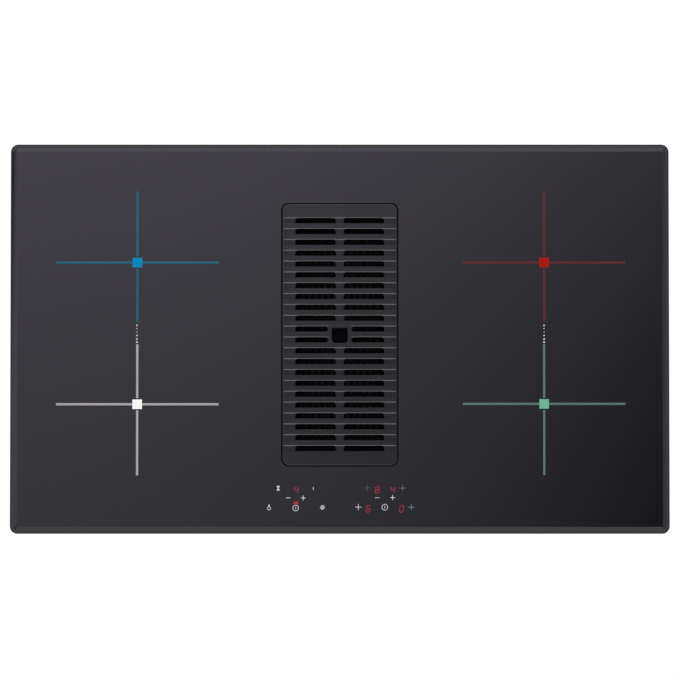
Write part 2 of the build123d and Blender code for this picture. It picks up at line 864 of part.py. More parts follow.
def mount_places():
    reach = motor_radius + motor_port_gap + mount_radius + screw_gap
    places = []
    for n in range(3):
        angle = math.radians(90 + 120 * n)
        places.append((fan_x + reach * math.cos(angle), fan_y + reach * math.sin(angle)))
    return places


def make_motor_mounts():
    top = scroll_base + scroll_height
    pads = []
    for x, y in mount_places():
        pad = rod(mount_radius, mount_thick, top, x, y)
        pads.append(pad - rod(screw_radius + screw_gap, mount_thick, top, x, y))
    return group(pads)


def make_fan_motor():
    base = motor_base()
    top = base + motor_height
    body = rod(motor_radius, motor_height, base, fan_x, fan_y)
    body = fillet(body.edges().group_by(Axis.Z)[0], motor_gap / 2)
    body += rod(motor_plate_radius, motor_plate_thick, top, fan_x, fan_y)
    inside = motor_height - bearing_height
    body -= rod(bearing_radius, bearing_height, base, fan_x, fan_y)
    body -= rod(shaft_radius + 1, inside, base, fan_x, fan_y)
    body -= rod(bearing_radius, bearing_height, base + inside - bearing_height, fan_x, fan_y)
    for x, y in mount_places():
        body -= rod(screw_radius + screw_gap, motor_plate_thick, top, x, y)
    return body


def make_motor_bearings():
    base = motor_base()
    rings = []
    for z in (base, base + motor_height - 2 * bearing_height):
        ring = rod(bearing_radius, bearing_height, z, fan_x, fan_y)
        rings.append(ring - rod(shaft_radius + running_gap, bearing_height, z, fan_x, fan_y))
    return group(rings)


def make_motor_shaft():
    low = motor_base() - motor_gap - bearing_height
    high = motor_base() + motor_height - bearing_height - rest_gap
    return rod(shaft_radius, high - low, low, fan_x, fan_y)


def make_motor_screws():
    top = scroll_base + scroll_height
    plate_face = top + mount_thick + motor_plate_thick
    screws = []
    for x, y in mount_places():
        shank = rod(screw_radius, plate_face - top + scroll_wall, top - scroll_wall, x, y)
        screws.append(shank + rod(screw_head, screw_head_height, plate_face, x, y))
    return screws


# ---- coils ----

def make_coil_winding(x, y):
    ring = rod(coil_radius, coil_thick, former_top, x, y) - rod(coil_bore, coil_thick, former_top, x, y)
    return fillet(ring.edges(), coil_thick / 4)


def make_coil_former(x, y):
    base = ferrite_top
    radius = coil_radius + former_margin
    disc = rod(radius, former_thick, base, x, y) - rod(sensor_radius + rest_gap, former_thick, base, x, y)
    hub = rod(coil_bore - rest_gap, coil_thick / 2, former_top, x, y)
    hub -= rod(coil_bore - former_margin, coil_thick / 2, former_top, x, y)
    disc += hub
    window = Pos((coil_radius + coil_bore) / 2, 0) * SlotOverall(former_window, ferrite_width)
    turns = [Pos(x, y, base) * Rot(0, 0, 360 / ferrite_count * (n + 0.5)) * window
             for n in range(ferrite_count)]
    return disc - extrude(Sketch() + turns, former_thick)


def make_ferrite_bars():
    middle = (coil_radius + coil_bore) / 2
    bar = block(ferrite_length, ferrite_width, ferrite_thick, plate_top, middle, 0)
    bars = []
    for x, y in coil_places().values():
        for n in range(ferrite_count):
            bars.append(Pos(x, y, 0) * Rot(0, 0, 360 / ferrite_count * n) * bar)
    return group(bars)


def coil_places():
    return {
        "rear_left": (-coil_x, coil_rear_y), "front_left": (-coil_x, coil_front_y),
        "rear_right": (coil_x, coil_rear_y), "front_right": (coil_x, coil_front_y),
    }


def make_coil_sensors():
    height = coil_top - plate_top
    sensors = []
    for x, y in coil_places().values():
        pin = rod(sensor_radius, height, plate_top, x, y)
        sensors.append(fillet(pin.edges().group_by(Axis.Z)[-1], sensor_radius / 4))
    return group(sensors)


def coil_bay():
    """Inner and outer X, and Y half length, of the plate that carries the coils of one side."""
    inner = touch_width / 2 + plate_margin
    outer = tray_width / 2 - tray_sheet - plate_margin
    return inner, outer, tray_depth / 2 - tray_sheet - plate_margin


def make_mica_sheet(side):
    inner, outer, half = coil_bay()
    middle = side * (inner + outer) / 2
    return plate(outer - inner, 2 * half, mica_thick, tray_corner / 2, coil_top, middle, 0)


def make_coil_plate(side):
    inner, outer, half = coil_bay()
    middle = side * (inner + outer) / 2
    sheet = plate(outer - inner, 2 * half, plate_thick, tray_corner / 2, plate_bottom, middle, 0)
    lead = Pos(side * (coil_x - coil_radius), (coil_rear_y + coil_front_y) / 2, plate_bottom)
    return sheet - extrude(lead * SlotOverall(4 * post_radius, 2 * post_radius, rotation=90), plate_thick)


def make_coil_posts():
    """Five under each coil plate: at its four corners and halfway along its outer side."""
    inner, outer, half = coil_bay()
    low_x = inner + post_inset
    high_x = outer - post_inset
    high_y = half - post_inset
    places = [(low_x, -high_y), (low_x, high_y), (high_x, -high_y), (high_x, high_y), (high_x, 0)]
    posts = []
    for side in (-1, 1):
        for x, y in places:
            posts.append(rod(post_radius, plate_bottom - tray_floor, tray_floor, side * x, y))
    return group(posts)


# ---- power boards and cooling fans ----

def board_base():
    return tray_floor + spacer_height


def make_board_spacers():
    spacers = [rod(post_radius - 1, spacer_height, tray_floor, x, y) for x, y in board_spacer_places()]
    return group(spacers)


def make_power_board(side):
    return plate(board_width, board_length, board_thick, post_radius, board_base(), side * board_x, 0)


def sink_x(side):
    """Heat sinks stand on the half of the board that is nearer the cooling fan."""
    return side * (board_x - board_width / 2 + sink_width / 2 + post_inset)


def make_heat_sink(side):
    base = board_base() + board_thick
    sink = block(sink_width, sink_length, sink_base, base, sink_x(side), 0)
    step = (sink_length - fin_thick) / (fin_count - 1)
    fins = []
    for n in range(fin_count):
        y = -sink_length / 2 + fin_thick / 2 + n * step
        fins.append(block(sink_width, fin_thick, sink_height, base, sink_x(side), y))
    return sink + fins


def make_board_parts(side):
    """On the outer half of the board: a row of capacitors, two filter chokes and three relays."""
    base = board_base() + board_thick
    outer = side * (board_x + board_width / 2 - parts_inset)
    inner = outer - side * (choke_radius + relay_size[0])
    rear = board_length / 2 - parts_inset
    parts = []
    for n in range(4):
        can = rod(can_radius, can_height, base, outer, rear - can_pitch * n)
        parts.append(fillet(can.edges().group_by(Axis.Z)[-1], can_round))
    for n in range(2):
        y = choke_pitch * n - rear
        parts.append(rod(choke_radius, choke_height, base, outer, y)
                     - rod(choke_bore, choke_height, base, outer, y))
    for n in range(3):
        size_x, size_y, height = relay_size
        parts.append(block(size_x, size_y, height, base, inner, rear - relay_pitch * n))
    return group(parts)


def make_cooler_frame(side):
    """Fan frame on four hollow feet; a spider across its underside carries the rotor's pin."""
    base = tray_floor + cooler_foot
    frame = plate(cooler_size, cooler_size, cooler_height, post_radius, base)
    frame -= rod(cooler_bore, cooler_height, base)
    hole = cooler_size / 2 - cooler_screw_inset
    for x in (-hole, hole):
        for y in (-hole, hole):
            frame += rod(cooler_screw_inset, cooler_foot, tray_floor, x, y)
            frame -= rod(screw_radius + screw_gap, cooler_foot + cooler_height, tray_floor, x, y)
    frame += rod(cooler_hub, cooler_web, base)
    for n in range(4):
        arm = block(cooler_bore - cooler_hub + cooler_web, cooler_web, cooler_web, base,
                    (cooler_bore + cooler_hub) / 2, 0)
        frame += Rot(0, 0, 45 + 90 * n) * arm
    frame += rod(cooler_pin, cooler_height - cooler_web, base)
    return Pos(side * cooler_x, 0, 0) * frame


def make_cooler_rotor(side):
    base = tray_floor + cooler_foot + cooler_web + cooler_tip_gap
    height = cooler_height - cooler_web - 2 * cooler_tip_gap
    hub = rod(cooler_hub, height, base)
    hub = fillet(hub.edges().group_by(Axis.Z)[-1], cooler_web / 2)
    tip = cooler_bore - cooler_tip_gap
    root = cooler_hub - cooler_web
    sheet = Box(tip - root, height * 1.25, cooler_blade)
    blade = Pos((tip + root) / 2, 0, base + height / 2) * Rot(cooler_blade_turn, 0, 0) * sheet
    disc = rod(tip, height, base)
    for n in range(cooler_blades):
        hub += Rot(0, 0, 360 / cooler_blades * n) * blade & disc
    hub -= rod(cooler_pin + running_gap, height, base)
    return Pos(side * cooler_x, 0, 0) * hub


# ---- touch control ----

def touch_top():
    return glass_bottom - touch_drop


def make_touch_board():
    return plate(touch_width, touch_length, board_thick, post_radius / 2, touch_top() - board_thick,
                 0, touch_y)


def make_display_modules():
    height = touch_drop - board_gap
    return group([block(display_width, display_length, height, touch_top(), x, touch_y + y)
                  for x, y in display_places])


def make_touch_contacts():
    height = touch_drop - board_gap
    return group([rod(contact_radius, height, touch_top(), x, touch_y + y)
                  for x, y in contact_places])


def make_touch_holder():
    top = touch_top() - board_thick
    holder = frame_ring(touch_width, touch_length, holder_rim, holder_thick, post_radius / 2,
                        top - holder_thick, 0, touch_y)
    for x in (-1, 1):
        for y in (-1, 1):
            holder += rod(leg_radius, top - holder_thick / 2 - tray_floor, tray_floor,
                          x * (touch_width / 2 - leg_radius), touch_y + y * (touch_length / 2 - leg_radius))
    return holder


# ---- electrical boxes under the tray ----

def terminal_y():
    return tray_depth / 2 - terminal_inset - terminal_length / 2


def make_terminal_cover():
    y = terminal_y()
    base = casing_height - terminal_height
    box = plate(terminal_width, terminal_length, terminal_height, 2 * terminal_wall, base, terminal_x, y)
    box -= plate(terminal_width - 2 * terminal_wall, terminal_length - 2 * terminal_wall,
                 terminal_height - terminal_wall, terminal_wall, base + terminal_wall, terminal_x, y)
    for side in (-1, 1):
        ear = plate(2 * ear_length, ear_width, terminal_wall, terminal_wall,
                    casing_height - terminal_wall, terminal_x + side * terminal_width / 2, y)
        ear -= block(terminal_width - terminal_wall, terminal_length, terminal_height, base, terminal_x, y)
        box += ear
    for x, y in terminal_screw_places():
        box -= rod(screw_radius + screw_gap, terminal_height, base, x, y)
    return box - gland_bar(gland_radius + screw_gap, -terminal_wall, 0)


def terminal_screw_places():
    reach = terminal_width / 2 + ear_length / 2
    return [(terminal_x + side * reach, terminal_y()) for side in (-1, 1)]


def control_screw_places():
    reach = control_length / 2 + ear_length / 2
    return [(control_x(), control_y + side * reach) for side in (-1, 1)]


def make_box_screws():
    """Screws that hold the terminal cover and the control box up against the tray."""
    screws = []
    for wall, places in ((terminal_wall, terminal_screw_places()), (control_wall, control_screw_places())):
        face = casing_height - wall
        for x, y in places:
            shank = rod(screw_radius, tray_floor + tray_sheet - face, face, x, y)
            screws.append(shank + rod(screw_head, screw_head_height, face - screw_head_height, x, y))
    return screws


def gland_bar(radius, low, high):
    """Rod on the gland's axis, from low to high behind the cover's rear wall."""
    rear = terminal_y() + terminal_length / 2
    z = casing_height - terminal_height / 2
    centre = Plane(origin=(terminal_x, rear + high, z), x_dir=(1, 0, 0), z_dir=(0, -1, 0))
    return extrude(centre * Circle(radius), high - low)


def make_cable_gland():
    rear = terminal_y() + terminal_length / 2
    z = casing_height - terminal_height / 2
    nut = Plane(origin=(terminal_x, rear + gland_nut_length, z), x_dir=(1, 0, 0), z_dir=(0, -1, 0))
    body = extrude(nut * RegularPolygon(gland_nut, 6), gland_nut_length)
    body = chamfer(body.faces().sort_by(Axis.Y)[-1].edges(), 1.0)
    body += gland_bar(gland_radius, -gland_tail, 0)
    return body - gland_bar(gland_bore, -gland_tail, gland_nut_length)


def make_terminal_block():
    base = casing_height - block_height
    y = terminal_y() - block_setback
    body = block(block_width, block_length, block_height, base, terminal_x, y)
    for n in range(block_ways):
        x = terminal_x - block_width / 2 + block_width * (n + 0.5) / block_ways
        body -= rod(screw_radius, block_height / 2, base, x, y)
    return body


def control_x():
    return casing_left - casing_flange - control_gap - control_width / 2


def make_control_box():
    base = casing_height - control_height
    box = plate(control_width, control_length, control_height - control_wall, 3 * control_wall,
                base + control_wall, control_x(), control_y)
    box -= plate(control_width - 2 * control_wall, control_length - 2 * control_wall,
                 control_height - 2 * control_wall, 2 * control_wall, base + control_wall,
                 control_x(), control_y)
    for x, y in control_screw_places():
        side = 1 if y > control_y else -1
        ear = plate(ear_width, 2 * ear_length, control_wall, control_wall, casing_height - control_wall,
                    x, control_y + side * control_length / 2)
        ear -= block(control_width, control_length - control_wall, control_height, base,
                     control_x(), control_y)
        box += ear - rod(screw_radius + screw_gap, control_wall, casing_height - control_wall, x, y)
    return box


def make_control_cover():
    base = casing_height - control_height
    lid = plate(control_width, control_length, control_wall, 3 * control_wall, base,
                control_x(), control_y)
    gap = control_wall + rest_gap
    lid += frame_ring(control_width - 2 * gap, control_length - 2 * gap, control_wall,
                      2 * control_wall, 2 * control_wall - rest_gap, base + control_wall / 2,
                      control_x(), control_y)
    return lid


def make_control_board():
    """Card hung from the box's roof on four posts, with one large capacitor under it."""
    top = casing_height - control_wall
    half_x = control_width / 2 - control_wall - card_gap
    half_y = control_length / 2 - control_wall - card_gap
    card = block(2 * half_x, 2 * half_y, board_thick, top - card_lift, control_x(), control_y)
    card += rod(card_can_radius, card_can_height, top - card_lift - card_can_height,
                control_x(), control_y + card_can_y)
    for x in (-1, 1):
        for y in (-1, 1):
            card += rod(card_post, card_lift, top - card_lift, control_x() + x * (half_x - card_post),
                        control_y + y * (half_y - card_post))
    return card


# ---- worktop clips ----

def clip_walls():
    """Outer wall and turn of each clip: two on the front wall of the tray and two on the rear."""
    return [(x * clip_x, side) for x in (-1, 1) for side in (-1, 1)]


def clip_base():
    return glass_bottom - tray_sheet - clip_height - clip_drop


def make_worktop_clips():
    wall = tray_depth / 2
    low = clip_base()
    path = ((0, clip_height), (0, 0), (clip_bulge * 0.6, -3), (clip_bulge, 6), (clip_bulge * 0.5, 16))
    line = FilletPolyline(*[(clip_sheet / 2 + out, up) for out, up in path], radius=clip_round)
    strip = extrude(Plane.YZ * trace(line, clip_sheet), clip_width / 2, both=True)
    for side in (-1, 1):
        hole = Pos(side * clip_width / 4, clip_height - clip_screw_drop) * Circle(screw_radius + screw_gap)
        hole = Plane.XZ * hole
        strip -= extrude(hole, 3 * clip_sheet, both=True)
    clips = []
    for x, side in clip_walls():
        turn = 0 if side > 0 else 180
        clips.append(Pos(x, side * wall, low) * Rot(0, 0, turn) * strip)
    return group(clips)


def make_clip_screws():
    wall = tray_depth / 2
    z = clip_base() + clip_height - clip_screw_drop
    screws = []
    for x, side in clip_walls():
        for along in (-1, 1):
            origin = (x + along * clip_width / 4, side * (wall + clip_sheet), z)
            face = Plane(origin=origin, x_dir=(1, 0, 0), z_dir=(0, side, 0))
            screws.append(extrude(face * Circle(screw_head), screw_head_height / 2))
    return group(screws)


nodes = {
    "glass_top": make_glass_top(),
    "glass_seal": make_glass_seal(),
    "grille": make_grille(),
    "grille_pads": make_grille_pads(),
    "well_gasket": make_well_gasket(),
    "inlet_well": make_inlet_well(),
    "filter_frame": make_filter_frame(),
    "filter_mesh": make_filter_mesh(),
    "filter_handle": make_filter_handle(),
    "drip_tray": make_drip_tray(),
    "upper_tray": make_upper_tray(),
    "casing_gasket": make_casing_gasket(),
    "lower_casing": make_lower_casing(),
    "duct_gasket": make_duct_gasket(),
    "duct_spigot": make_duct_spigot(),
    "flap_upper": make_flap(0),
    "flap_lower": make_flap(1),
    "flap_pins": make_flap_pins(),
    "scroll_housing": make_scroll_housing(),
    "scroll_cover": make_scroll_cover(),
    "impeller": make_impeller(),
    "fan_motor": make_fan_motor(),
    "motor_bearings": make_motor_bearings(),
    "motor_shaft": make_motor_shaft(),
    "motor_mounts": make_motor_mounts(),
    "screws": group(make_casing_screws() + make_duct_screws() + make_motor_screws() + make_box_screws()),
    "coil_formers": group([make_coil_former(x, y) for x, y in coil_places().values()]),
    "ferrite_bars": make_ferrite_bars(),
    "coil_sensors": make_coil_sensors(),
    "mica_sheets": group([make_mica_sheet(-1), make_mica_sheet(1)]),
    "coil_posts": make_coil_posts(),
    "board_spacers": make_board_spacers(),
    "touch_board": make_touch_board(),
    "touch_holder": make_touch_holder(),
    "display_modules": make_display_modules(),
    "touch_contacts": make_touch_contacts(),
    "terminal_cover": make_terminal_cover(),
    "terminal_block": make_terminal_block(),
    "cable_gland": make_cable_gland(),
    "control_box": make_control_box(),
    "control_cover": make_control_cover(),
    "control_board": make_control_board(),
    "worktop_clips": make_worktop_clips(),
    "clip_screws": make_clip_screws(),
}
for name, place in coil_places().items():
    nodes["winding_" + name] = make_coil_winding(*place)
for name, side in (("left", -1), ("right", 1)):
    nodes["coil_plate_" + name] = make_coil_plate(side)
    nodes["power_board_" + name] = make_power_board(side)
    nodes["heat_sink_" + name] = make_heat_sink(side)
    nodes["board_parts_" + name] = make_board_parts(side)
    nodes["cooler_frame_" + name] = make_cooler_frame(side)
    nodes["cooler_rotor_" + name] = make_cooler_rotor(side)

for name, shape in nodes.items():
    export_step(shape, os.path.join("parts", name + ".step"))
print(len(nodes), "nodes written")
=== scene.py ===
import math

import bpy
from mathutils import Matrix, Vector


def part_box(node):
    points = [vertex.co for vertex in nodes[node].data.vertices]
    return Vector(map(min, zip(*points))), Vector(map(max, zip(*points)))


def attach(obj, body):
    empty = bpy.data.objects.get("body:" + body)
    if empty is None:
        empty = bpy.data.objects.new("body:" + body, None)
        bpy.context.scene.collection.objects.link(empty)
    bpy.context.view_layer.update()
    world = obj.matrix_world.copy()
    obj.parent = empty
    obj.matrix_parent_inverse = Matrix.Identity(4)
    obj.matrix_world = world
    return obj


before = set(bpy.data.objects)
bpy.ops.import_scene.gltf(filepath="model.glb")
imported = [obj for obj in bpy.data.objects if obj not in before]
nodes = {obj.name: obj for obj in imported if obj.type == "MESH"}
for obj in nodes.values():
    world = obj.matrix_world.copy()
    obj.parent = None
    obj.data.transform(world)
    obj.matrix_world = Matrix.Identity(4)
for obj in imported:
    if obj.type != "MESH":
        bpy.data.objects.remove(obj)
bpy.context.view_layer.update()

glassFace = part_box("glass_top")[1].z
mm = 0.001


def deselectAll():
    bpy.ops.object.select_all(action="DESELECT")


def editMode(piece):
    deselectAll()
    piece.select_set(True)
    bpy.context.view_layer.objects.active = piece
    bpy.ops.object.mode_set(mode="EDIT")
    bpy.ops.mesh.select_all(action="DESELECT")


def objectMode():
    bpy.ops.object.mode_set(mode="OBJECT")


def pick(piece, test, kind="vertices"):
    # selects vertices or edges by where they are
    objectMode()
    mesh = piece.data
    for group in (mesh.vertices, mesh.edges, mesh.polygons):
        for item in group:
            item.select = False
    if kind == "vertices":
        bpy.context.tool_settings.mesh_select_mode = (True, False, False)
        for v in mesh.vertices:
            v.select = test(v.co)
    else:
        bpy.context.tool_settings.mesh_select_mode = (False, True, False)
        for e in mesh.edges:
            a, b = (mesh.vertices[i].co for i in e.vertices)
            e.select = test((a + b) / 2)
    bpy.ops.object.mode_set(mode="EDIT")


def applyPlace(piece):
    deselectAll()
    piece.select_set(True)
    bpy.context.view_layer.objects.active = piece
    bpy.ops.object.transform_apply(location=True, rotation=True, scale=True)


def joinPieces(pieces, name):
    for piece in pieces:
        applyPlace(piece)
    deselectAll()
    for piece in pieces:
        piece.select_set(True)
    bpy.context.view_layer.objects.active = pieces[0]
    if len(pieces) > 1:
        bpy.ops.object.join()
    joined = bpy.context.view_layer.objects.active
    joined.name = name
    joined.data.name = name
    return joined


def dress(piece, material):
    piece.data.materials.clear()
    piece.data.materials.append(material)


def newGroup(name, inputs, outputs):
    group = bpy.data.node_groups.new(name, "ShaderNodeTree")
    for label, value in inputs:
        socket = group.interface.new_socket(label, in_out="INPUT", socket_type="NodeSocketFloat")
        socket.default_value = value
    for label in outputs:
        group.interface.new_socket(label, in_out="OUTPUT", socket_type="NodeSocketFloat")
    start = group.nodes.new("NodeGroupInput")
    end = group.nodes.new("NodeGroupOutput")
    start.location = (-800, 0)
    end.location = (600, 0)
    return group, start, end


def buildGrainGroup():
    # fine moulded or enamelled grain: a height and a slow blotch
    group, start, end = newGroup(
        "fineGrain", (("Grain per metre", 900.0), ("Blotch per metre", 9.0)), ("Height", "Blotch"))
    place = group.nodes.new("ShaderNodeTexCoord")
    fine = group.nodes.new("ShaderNodeTexNoise")
    slow = group.nodes.new("ShaderNodeTexNoise")
    fine.inputs["Detail"].default_value = 3.0
    slow.inputs["Detail"].default_value = 4.0
    link = group.links.new
    link(place.outputs["Object"], fine.inputs["Vector"])
    link(place.outputs["Object"], slow.inputs["Vector"])
    link(start.outputs["Grain per metre"], fine.inputs["Scale"])
    link(start.outputs["Blotch per metre"], slow.inputs["Scale"])
    link(fine.outputs["Fac"], end.inputs["Height"])
    link(slow.outputs["Fac"], end.inputs["Blotch"])
    return group


def buildBrushGroup():
    # long fine scratches along one axis, as on rolled or brushed sheet
    group, start, end = newGroup(
        "brushLines", (("Along X", 8.0), ("Along Y", 8.0), ("Along Z", 900.0)),
        ("Height", "Streak"))
    place = group.nodes.new("ShaderNodeTexCoord")
    stretch = group.nodes.new("ShaderNodeCombineXYZ")
    scaled = group.nodes.new("ShaderNodeVectorMath")
    scaled.operation = "MULTIPLY"
    lines = group.nodes.new("ShaderNodeTexNoise")
    lines.inputs["Scale"].default_value = 1.0
    lines.inputs["Detail"].default_value = 5.0
    lines.inputs["Roughness"].default_value = 0.7
    link = group.links.new
    for axis in "XYZ":
        link(start.outputs["Along " + axis], stretch.inputs[axis])
    link(place.outputs["Object"], scaled.inputs[0])
    link(stretch.outputs["Vector"], scaled.inputs[1])
    link(scaled.outputs["Vector"], lines.inputs["Vector"])
    link(lines.outputs["Fac"], end.inputs["Height"])
    link(lines.outputs["Fac"], end.inputs["Streak"])
    return group


grainGroup = buildGrainGroup()
brushGroup = buildBrushGroup()


def newMaterial(name):
    material = bpy.data.materials.new(name)
    material.use_nodes = True
    return material, material.node_tree.nodes, material.node_tree.links.new


def addRamp(treeNodes, low, high, start=0.3, end=0.7):
    ramp = treeNodes.new("ShaderNodeValToRGB")
    ramp.color_ramp.elements[0].position = start
    ramp.color_ramp.elements[1].position = end
    ramp.color_ramp.elements[0].color = (*low, 1.0)
    ramp.color_ramp.elements[1].color = (*high, 1.0)
    return ramp


def addRange(treeNodes, low, high):
    span = treeNodes.new("ShaderNodeMapRange")
    span.inputs["From Min"].default_value = 0.25
    span.inputs["From Max"].default_value = 0.75
    span.inputs["To Min"].default_value = low
    span.inputs["To Max"].default_value = high
    return span


def addBump(treeNodes, distance):
    bump = treeNodes.new("ShaderNodeBump")
    bump.inputs["Distance"].default_value = distance
    bump.inputs["Strength"].default_value = 1.0
    return bump


def grainedMaterial(name, dark, light, rough, grain, blotch, bump, metallic=0.0, shine=0.5):
    # dark and light end the slow colour change; rough is a pair of roughnesses
    # grain and blotch are per metre and bump is in mm
    material, treeNodes, link = newMaterial(name)
    shader = treeNodes["Principled BSDF"]
    shader.inputs["Metallic"].default_value = metallic
    shader.inputs["Specular IOR Level"].default_value = shine
    texture = treeNodes.new("ShaderNodeGroup")
    texture.node_tree = grainGroup
    texture.inputs["Grain per metre"].default_value = grain
    texture.inputs["Blotch per metre"].default_value = blotch
    ramp = addRamp(treeNodes, dark, light)
    span = addRange(treeNodes, *rough)
    relief = addBump(treeNodes, bump * mm)
    link(texture.outputs["Blotch"], ramp.inputs["Fac"])
    link(texture.outputs["Blotch"], span.inputs["Value"])
    link(texture.outputs["Height"], relief.inputs["Height"])
    link(ramp.outputs["Color"], shader.inputs["Base Color"])
    link(span.outputs["Result"], shader.inputs["Roughness"])
    link(relief.outputs["Normal"], shader.inputs["Normal"])
    return material


brushDepth = 0.004  # mm


def brushedMaterial(name, dark, light, rough, along):
    # along says how many streaks per metre each axis crosses
    material, treeNodes, link = newMaterial(name)
    shader = treeNodes["Principled BSDF"]
    shader.inputs["Metallic"].default_value = 1.0
    texture = treeNodes.new("ShaderNodeGroup")
    texture.node_tree = brushGroup
    for axis, value in zip("XYZ", along):
        texture.inputs["Along " + axis].default_value = value
    ramp = addRamp(treeNodes, dark, light)
    span = addRange(treeNodes, *rough)
    relief = addBump(treeNodes, brushDepth * mm)
    link(texture.outputs["Streak"], ramp.inputs["Fac"])
    link(texture.outputs["Streak"], span.inputs["Value"])
    link(texture.outputs["Height"], relief.inputs["Height"])
    link(ramp.outputs["Color"], shader.inputs["Base Color"])
    link(span.outputs["Result"], shader.inputs["Roughness"])
    link(relief.outputs["Normal"], shader.inputs["Normal"])
    return material


glassLook = {
    "body": (0.0060, 0.0055, 0.0070),
    "bodyLight": (0.0075, 0.0068, 0.0088),
    "roughness": (0.035, 0.06),
    "ior": 1.52,
    "grain": 1400.0,
    "blotch": 6.0,
    "groundBelow": -1.9,  # mm from the face; below it the rim is ground and not polished
    "groundRoughness": 0.85,
}


def buildGlassMaterial():
    # black glass ceramic: a hard clear surface over a faintly mottled body, with wiping marks
    material, treeNodes, link = newMaterial("blackGlassCeramic")
    shader = treeNodes["Principled BSDF"]
    shader.inputs["IOR"].default_value = glassLook["ior"]
    texture = treeNodes.new("ShaderNodeGroup")
    texture.node_tree = grainGroup
    texture.inputs["Grain per metre"].default_value = glassLook["grain"]
    texture.inputs["Blotch per metre"].default_value = glassLook["blotch"]
    ramp = addRamp(treeNodes, glassLook["body"], glassLook["bodyLight"])
    span = addRange(treeNodes, *glassLook["roughness"])
    link(texture.outputs["Height"], ramp.inputs["Fac"])
    link(texture.outputs["Blotch"], span.inputs["Value"])
    place = treeNodes.new("ShaderNodeTexCoord")
    parts = treeNodes.new("ShaderNodeSeparateXYZ")
    ground = treeNodes.new("ShaderNodeMath")
    ground.operation = "LESS_THAN"
    ground.inputs[1].default_value = glassFace + glassLook["groundBelow"] * mm
    rough = treeNodes.new("ShaderNodeMix")
    rough.inputs["B"].default_value = glassLook["groundRoughness"]
    link(place.outputs["Object"], parts.inputs["Vector"])
    link(parts.outputs["Z"], ground.inputs[0])
    link(ground.outputs["Value"], rough.inputs["Factor"])
    link(span.outputs["Result"], rough.inputs["A"])
    link(ramp.outputs["Color"], shader.inputs["Base Color"])
    link(rough.outputs["Result"], shader.inputs["Roughness"])
    return material


zincLook = {
    "crystals": 210.0,  # per metre
    "bend": 120.0,
    "bendReach": 0.006,  # m by which the crystals' edges wander
    "dark": (0.44, 0.455, 0.47),
    "light": (0.58, 0.595, 0.61),
    "roughness": (0.34, 0.48),
}


def buildGalvanisedMaterial():
    # zinc spangle: flat crystals that differ a little in shade and roughness
    material, treeNodes, link = newMaterial("galvanisedSheet")
    shader = treeNodes["Principled BSDF"]
    shader.inputs["Metallic"].default_value = 1.0
    place = treeNodes.new("ShaderNodeTexCoord")
    crystals = treeNodes.new("ShaderNodeTexVoronoi")
    crystals.inputs["Scale"].default_value = zincLook["crystals"]
    bend = treeNodes.new("ShaderNodeTexNoise")
    bend.inputs["Scale"].default_value = zincLook["bend"]
    mixed = treeNodes.new("ShaderNodeVectorMath")
    mixed.operation = "MULTIPLY_ADD"
    mixed.inputs[1].default_value = (zincLook["bendReach"],) * 3
    shade = treeNodes.new("ShaderNodeSeparateColor")
    ramp = addRamp(treeNodes, zincLook["dark"], zincLook["light"], 0.0, 1.0)
    span = addRange(treeNodes, *zincLook["roughness"])
    link(place.outputs["Object"], bend.inputs["Vector"])
    link(bend.outputs["Color"], mixed.inputs[0])
    link(place.outputs["Object"], mixed.inputs[2])
    link(mixed.outputs["Vector"], crystals.inputs["Vector"])
    link(crystals.outputs["Color"], shade.inputs["Color"])
    link(shade.outputs["Red"], ramp.inputs["Fac"])
    link(shade.outputs["Green"], span.inputs["Value"])
    link(ramp.outputs["Color"], shader.inputs["Base Color"])
    link(span.outputs["Result"], shader.inputs["Roughness"])
    return material


windingLook = {
    "metallic": 0.85,
    "strands": 420.0,  # per metre
    "dark": (0.30, 0.10, 0.035),
    "light": (0.62, 0.27, 0.10),
    "relief": 0.3,  # mm
    "roughness": (0.3, 0.5),
}


def buildWindingMaterial():
    # lacquered litz wire: copper broken up by the lay of its strands
    material, treeNodes, link = newMaterial("lacqueredCopper")
    shader = treeNodes["Principled BSDF"]
    shader.inputs["Metallic"].default_value = windingLook["metallic"]
    place = treeNodes.new("ShaderNodeTexCoord")
    strands = treeNodes.new("ShaderNodeTexNoise")
    strands.inputs["Scale"].default_value = windingLook["strands"]
    strands.inputs["Detail"].default_value = 4.0
    ramp = addRamp(treeNodes, windingLook["dark"], windingLook["light"])
    relief = addBump(treeNodes, windingLook["relief"] * mm)
    span = addRange(treeNodes, *windingLook["roughness"])
    link(place.outputs["Object"], strands.inputs["Vector"])
    link(strands.outputs["Fac"], ramp.inputs["Fac"])
    link(strands.outputs["Fac"], relief.inputs["Height"])
    link(strands.outputs["Fac"], span.inputs["Value"])
    link(ramp.outputs["Color"], shader.inputs["Base Color"])
    link(relief.outputs["Normal"], shader.inputs["Normal"])
    link(span.outputs["Result"], shader.inputs["Roughness"])
    return material


printLook = {
    "grain": 2600.0,
    "blotch": 60.0,
    "shine": 0.02,
    "inkRoughness": (0.6, 0.68),
    "inkDepth": 0.002,  # mm
    "speckle": 0.95,
    "glowRoughness": (0.5, 0.6),
    "glowDepth": 0.001,  # mm
    "glowSpeckle": 1.1,
}


def inkMaterial(name, colour):
    # enamel fired into the glass: hardly any gloss, and a faint speckle in the colour
    dark = tuple(c * printLook["speckle"] for c in colour)
    return grainedMaterial(name, dark, colour, printLook["inkRoughness"], printLook["grain"],
                           printLook["blotch"], printLook["inkDepth"], 0.0, printLook["shine"])


